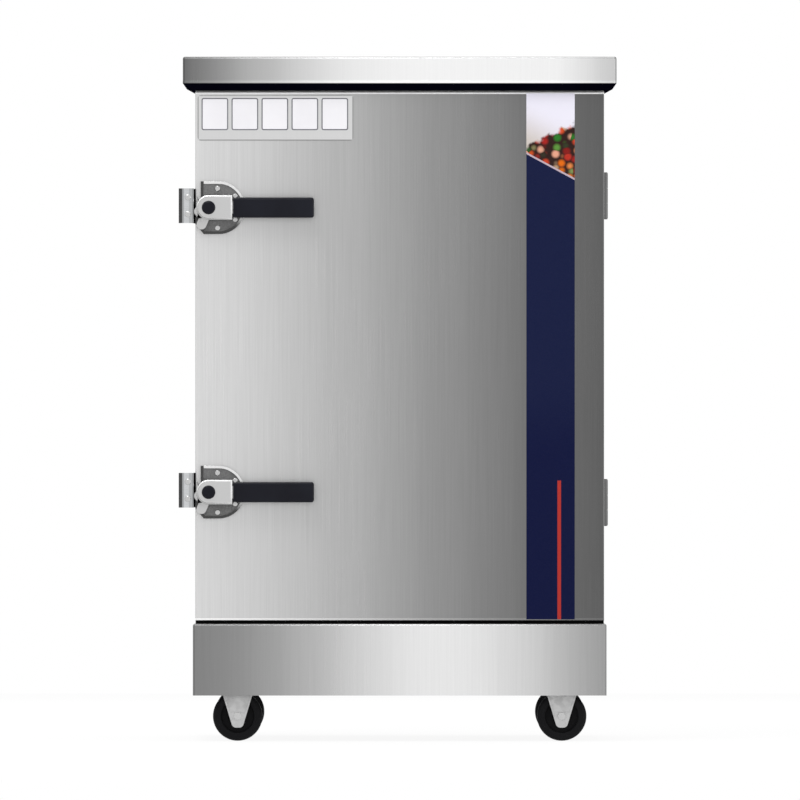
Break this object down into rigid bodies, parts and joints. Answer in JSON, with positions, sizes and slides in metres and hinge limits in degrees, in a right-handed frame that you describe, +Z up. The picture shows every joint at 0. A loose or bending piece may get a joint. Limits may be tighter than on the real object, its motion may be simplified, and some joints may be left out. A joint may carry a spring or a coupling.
{
  "type": "rice noodle roll steamer",
  "caption": "Upright steaming cabinet for rice noodle rolls: insulated door with rotary latches, slide-in trays over an electric water tank, on casters.",
  "frame": {"origin": "on the floor, under the middle of the cabinet's whole footprint", "axes": "+Z up, -Y towards the person facing the door, +X to that person's right, where the door's hinges are"},
  "size_m": [0.7065, 0.6809, 1.105],
  "materials": {
    "cover_steel": "satin",
    "panel_steel": "satin",
    "door_steel": "satin",
    "base_steel": "satin",
    "soffit_steel": "satin",
    "liner_steel": "satin",
    "tray_steel": "satin",
    "rack_steel": "satin",
    "channel_steel": "satin",
    "insulation": "matte",
    "heater_steel": "satin",
    "pipe_steel": "satin",
    "valve_brass": "satin",
    "lever_red": "satin",
    "float_box_steel": "satin",
    "float_plastic": "satin",
    "terminal_steel": "satin",
    "terminal_plastic": "matte",
    "gland_plastic": "matte",
    "gasket_rubber": "matte",
    "decor_film": "gloss",
    "badge_silver": "gloss",
    "latch_cast": "satin",
    "latch_chrome": "polished",
    "grip_black": "gloss",
    "keeper_chrome": "polished",
    "screw_steel": "polished",
    "hinge_steel": "satin",
    "caster_zinc": "satin",
    "wheel_black": "matte"
  },
  "bodies": {
    "cabinet": {"top_cover": "cover_steel", "cover_soffit": "soffit_steel", "side_panel_left": "panel_steel", "side_panel_right": "panel_steel", "back_panel": "panel_steel", "front_frame": "panel_steel", "inner_liner": "liner_steel", "body_insulation": "insulation", "base_skirt": "base_steel", "caster_channel_left": "channel_steel", "caster_channel_right": "channel_steel", "tray_rack_left": "rack_steel", "tray_rack_right": "rack_steel", "steam_spreader": "liner_steel", "heating_elements": "heater_steel", "heater_nuts": "valve_brass", "steam_vent_pipe": "pipe_steel", "balance_pipe": "pipe_steel", "drain_pipe": "pipe_steel", "drain_valve_body": "valve_brass", "float_box": "float_box_steel", "float_valve": "valve_brass", "terminal_cover": "terminal_steel", "terminal_block": "terminal_plastic", "cable_gland": "gland_plastic", "keeper_upper": "keeper_chrome", "keeper_lower": "keeper_chrome", "body_fasteners": "screw_steel", "hinge_body_leaves": "hinge_steel", "caster_forks": "caster_zinc", "caster_fasteners": "screw_steel"},
    "door": {"door_outer_skin": "door_steel", "door_inner_skin": "liner_steel", "door_insulation": "insulation", "door_gasket": "gasket_rubber", "decor_strip": "decor_film", "badge_plate": "badge_silver", "latch_base_upper": "latch_cast", "latch_base_lower": "latch_cast", "latch_pivots": "grip_black", "door_fasteners": "screw_steel", "hinge_door_leaves": "hinge_steel", "hinge_pins": "hinge_steel"},
    "latch_upper": {"latch_lever_upper": "latch_chrome", "latch_grip_upper": "grip_black"},
    "latch_lower": {"latch_lever_lower": "latch_chrome", "latch_grip_lower": "grip_black"},
    "drain_lever": {"drain_valve_lever": "lever_red"},
    "float": {"float_arm": "float_plastic"},
    "float_lid": {"float_box_lid": "float_box_steel"},
    "wheel_front_left": {"caster_wheel_front_left": "wheel_black"},
    "wheel_front_right": {"caster_wheel_front_right": "wheel_black"},
    "wheel_rear_left": {"caster_wheel_rear_left": "wheel_black"},
    "wheel_rear_right": {"caster_wheel_rear_right": "wheel_black"},
    "tray_1_body": {"tray_1": "tray_steel"},
    "tray_2_body": {"tray_2": "tray_steel"},
    "tray_3_body": {"tray_3": "tray_steel"},
    "tray_4_body": {"tray_4": "tray_steel"},
    "tray_5_body": {"tray_5": "tray_steel"},
    "tray_6_body": {"tray_6": "tray_steel"}
  },
  "joints": [
    {"name": "door_hinge", "type": "hinge", "parent": "cabinet", "child": "door", "pos_m": [0.3332, -0.254, 0.6215], "axis": [0, 0, 1], "range_deg": [0, 180]},
    {"name": "latch_upper_turn", "type": "hinge", "parent": "door", "child": "latch_upper", "pos_m": [-0.3082, -0.3, 0.8613], "axis": [0, -1, 0], "range_deg": [0, 90]},
    {"name": "latch_lower_turn", "type": "hinge", "parent": "door", "child": "latch_lower", "pos_m": [-0.3082, -0.3, 0.4023], "axis": [0, -1, 0], "range_deg": [0, 90]},
    {"name": "wheel_front_left_spin", "type": "hinge", "parent": "cabinet", "child": "wheel_front_left", "pos_m": [-0.262, -0.238, 0.04], "axis": [0, 1, 0], "continuous": true},
    {"name": "wheel_front_right_spin", "type": "hinge", "parent": "cabinet", "child": "wheel_front_right", "pos_m": [0.262, -0.238, 0.04], "axis": [0, 1, 0], "continuous": true},
    {"name": "wheel_rear_left_spin", "type": "hinge", "parent": "cabinet", "child": "wheel_rear_left", "pos_m": [-0.262, 0.198, 0.04], "axis": [0, 1, 0], "continuous": true},
    {"name": "wheel_rear_right_spin", "type": "hinge", "parent": "cabinet", "child": "wheel_rear_right", "pos_m": [0.262, 0.198, 0.04], "axis": [0, 1, 0], "continuous": true},
    {"name": "tray_1_slide", "type": "slide", "parent": "cabinet", "child": "tray_1_body", "axis": [0, -1, 0], "range_m": [0, 0.055]},
    {"name": "tray_2_slide", "type": "slide", "parent": "cabinet", "child": "tray_2_body", "axis": [0, -1, 0], "range_m": [0, 0.055]},
    {"name": "tray_3_slide", "type": "slide", "parent": "cabinet", "child": "tray_3_body", "axis": [0, -1, 0], "range_m": [0, 0.055]},
    {"name": "tray_4_slide", "type": "slide", "parent": "cabinet", "child": "tray_4_body", "axis": [0, -1, 0], "range_m": [0, 0.055]},
    {"name": "tray_5_slide", "type": "slide", "parent": "cabinet", "child": "tray_5_body", "axis": [0, -1, 0], "range_m": [0, 0.055]},
    {"name": "tray_6_slide", "type": "slide", "parent": "cabinet", "child": "tray_6_body", "axis": [0, -1, 0], "range_m": [0, 0.055]},
    {"name": "drain_lever_turn", "type": "hinge", "parent": "cabinet", "child": "drain_lever", "pos_m": [0, 0.298, 0.1513], "axis": [0, 0, -1], "range_deg": [0, 90]},
    {"name": "float_swing", "type": "hinge", "parent": "cabinet", "child": "float", "pos_m": [-0.2118, 0.299, 0.315], "axis": [0, -1, 0], "range_deg": [0, 20]},
    {"name": "float_lid_lift", "type": "slide", "parent": "cabinet", "child": "float_lid", "axis": [0, 0, 1], "range_m": [0, 0.06]}
  ]
}
